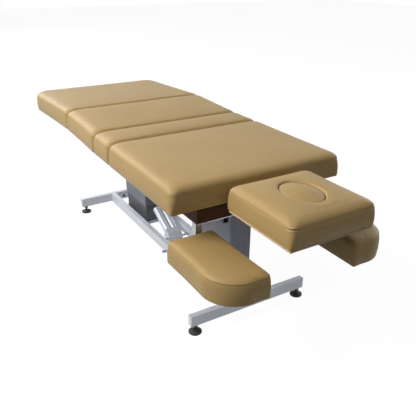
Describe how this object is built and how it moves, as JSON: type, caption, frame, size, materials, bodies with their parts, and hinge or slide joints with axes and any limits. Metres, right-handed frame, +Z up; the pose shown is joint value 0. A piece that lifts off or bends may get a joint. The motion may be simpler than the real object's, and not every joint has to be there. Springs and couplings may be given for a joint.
{
  "type": "electric massage table",
  "caption": "Padded massage table with back, seat, thigh and foot sections on a powered pedestal of telescoping columns, with a slotted headrest and drop armrests.",
  "frame": {"origin": "on the floor under the middle of the table's outer box", "axes": "+Z up, +Y from the head end to the foot end, +X across the deck to the right when looking along +Y"},
  "size_m": [0.762, 2.1154, 0.6678],
  "materials": {
    "tan_vinyl": "satin upholstery vinyl",
    "plywood": "sanded and sealed",
    "brown_apron": "dark stained, semi-gloss",
    "silver_paint": "silver powder coat",
    "grey_shroud": "dark grey powder coat",
    "dark_column": "near-black coat",
    "black_plastic": "fine texture",
    "black_rubber": "matte",
    "zinc_steel": "zinc plated",
    "chrome_rod": "polished",
    "white_nylon": "matte"
  },
  "bodies": {
    "base": {"front_foot_bar": "silver_paint", "rear_foot_bar": "silver_paint", "left_base_rail": "silver_paint", "right_base_rail": "silver_paint", "rail_tie_rod": "zinc_steel", "front_inner_column": "dark_column", "rear_inner_column": "dark_column", "actuator_base_pin": "zinc_steel"},
    "foot_front_left": {"levelling_foot_front_left": "black_rubber"},
    "foot_front_right": {"levelling_foot_front_right": "black_rubber"},
    "foot_rear_left": {"levelling_foot_rear_left": "black_rubber"},
    "foot_rear_right": {"levelling_foot_rear_right": "black_rubber"},
    "actuator": {"actuator_gearbox": "silver_paint", "actuator_motor_tube": "silver_paint", "actuator_spindle_tube": "silver_paint"},
    "actuator_rod": {"actuator_rod": "chrome_rod"},
    "top": {"front_column_shroud": "grey_shroud", "rear_column_shroud": "grey_shroud", "front_glide_ring": "white_nylon", "rear_glide_ring": "white_nylon", "left_chassis_rail": "grey_shroud", "right_chassis_rail": "grey_shroud", "actuator_lift_bracket": "grey_shroud", "control_box": "black_plastic", "mains_inlet": "black_plastic", "back_hinge_tube": "zinc_steel", "thigh_hinge_tube": "zinc_steel", "seat_board": "plywood", "seat_cushion": "tan_vinyl"},
    "back": {"back_board": "plywood", "back_cushion": "tan_vinyl", "back_front_apron": "brown_apron", "back_apron_frame": "brown_apron", "left_back_hinge_plate": "zinc_steel", "right_back_hinge_plate": "zinc_steel", "left_armrest_sleeve": "zinc_steel", "right_armrest_sleeve": "zinc_steel", "headrest_sockets": "zinc_steel"},
    "back_strut": {"back_strut_cylinder": "black_plastic"},
    "back_strut_rod": {"back_strut_rod": "chrome_rod"},
    "thigh": {"thigh_board": "plywood", "thigh_cushion": "tan_vinyl", "thigh_frame": "zinc_steel"},
    "foot": {"foot_board": "plywood", "foot_cushion": "tan_vinyl", "foot_slide_frame": "zinc_steel"},
    "knee_strut": {"knee_strut_cylinder": "black_plastic"},
    "knee_strut_rod": {"knee_strut_rod": "chrome_rod"},
    "headrest_carriage": {"headrest_posts": "chrome_rod"},
    "headrest": {"headrest_tilt_block": "zinc_steel", "headrest_board": "plywood", "headrest_cushion": "tan_vinyl"},
    "face_plug": {"face_plug": "tan_vinyl"},
    "left_armrest": {"left_armrest_post": "zinc_steel", "left_armrest_board": "plywood", "left_armrest_cushion": "tan_vinyl"},
    "right_armrest": {"right_armrest_post": "zinc_steel", "right_armrest_board": "plywood", "right_armrest_cushion": "tan_vinyl"}
  },
  "joints": [
    {"name": "lift", "type": "slide", "parent": "base", "child": "top", "axis": [0, 0, 1], "range_m": [-0.03, 0.15]},
    {"name": "actuator_swing", "type": "hinge", "parent": "base", "child": "actuator", "pos_m": [0, 0.02852, 0.052], "axis": [1, 0, 0], "range_deg": [-4.75, 23.33]},
    {"name": "actuator_extend", "type": "slide", "parent": "actuator", "child": "actuator_rod", "axis": [0, 0.877, 0.4805], "range_m": [-0.0188, 0.0919]},
    {"name": "back_tilt", "type": "hinge", "parent": "top", "child": "back", "pos_m": [0, -0.11348, 0.635], "axis": [-1, 0, 0], "range_deg": [0, 70]},
    {"name": "back_strut_swing", "type": "hinge", "parent": "top", "child": "back_strut", "pos_m": [0.29, 0.32352, 0.4716], "axis": [-1, 0, 0], "range_deg": [0, 12]},
    {"name": "back_strut_extend", "type": "slide", "parent": "back_strut", "child": "back_strut_rod", "axis": [0, -0.9993, -0.038], "range_m": [0, 0.178]},
    {"name": "thigh_tilt", "type": "hinge", "parent": "top", "child": "thigh", "pos_m": [0, 0.06052, 0.635], "axis": [1, 0, 0], "range_deg": [-1.8, 27]},
    {"name": "foot_tilt", "type": "hinge", "parent": "thigh", "child": "foot", "pos_m": [0, 0.43618, 0.55636], "axis": [1, 0, 0], "range_deg": [-47.2, 3.3]},
    {"name": "knee_strut_swing", "type": "hinge", "parent": "top", "child": "knee_strut", "pos_m": [0.22, 0.12352, 0.4716], "axis": [1, 0, 0], "range_deg": [-1.7, 24.2]},
    {"name": "knee_strut_extend", "type": "slide", "parent": "knee_strut", "child": "knee_strut_rod", "axis": [0, 0.9428, 0.3332], "range_m": [-0.0056, 0.0807]},
    {"name": "headrest_slide", "type": "slide", "parent": "back", "child": "headrest_carriage", "axis": [0, -1, 0], "range_m": [0, 0.06]},
    {"name": "headrest_tilt", "type": "hinge", "parent": "headrest_carriage", "child": "headrest", "pos_m": [0, -0.74148, 0.528], "axis": [-1, 0, 0], "range_deg": [-30, 20]},
    {"name": "face_plug_lift", "type": "slide", "parent": "headrest", "child": "face_plug", "axis": [0, 0, 1], "range_m": [0, 0.1]},
    {"name": "left_armrest_height", "type": "slide", "parent": "back", "child": "left_armrest", "axis": [0, 0, 1], "range_m": [-0.06, 0.04]},
    {"name": "right_armrest_height", "type": "slide", "parent": "back", "child": "right_armrest", "axis": [0, 0, 1], "range_m": [-0.06, 0.04]},
    {"name": "foot_front_left_turn", "type": "hinge", "parent": "base", "child": "foot_front_left", "pos_m": [-0.2586, -0.62973, 0], "axis": [0, 0, 1], "continuous": true},
    {"name": "foot_front_right_turn", "type": "hinge", "parent": "base", "child": "foot_front_right", "pos_m": [0.2586, -0.62973, 0], "axis": [0, 0, 1], "continuous": true},
    {"name": "foot_rear_left_turn", "type": "hinge", "parent": "base", "child": "foot_rear_left", "pos_m": [-0.2586, 0.65107, 0], "axis": [0, 0, 1], "continuous": true},
    {"name": "foot_rear_right_turn", "type": "hinge", "parent": "base", "child": "foot_rear_right", "pos_m": [0.2586, 0.65107, 0], "axis": [0, 0, 1], "continuous": true}
  ],
  "couplings": [
    {"joint": "actuator_swing", "follows": "lift", "rad_per_m": 2.7029},
    {"joint": "actuator_extend", "follows": "lift", "ratio": 0.60926},
    {"joint": "back_strut_swing", "follows": "back_tilt", "ratio": 0.16732},
    {"joint": "back_strut_extend", "follows": "back_tilt", "m_per_rad": 0.14514},
    {"joint": "foot_tilt", "follows": "thigh_tilt", "ratio": -1.742},
    {"joint": "knee_strut_swing", "follows": "thigh_tilt", "ratio": 0.89079},
    {"joint": "knee_strut_extend", "follows": "thigh_tilt", "m_per_rad": 0.17071}
  ]
}
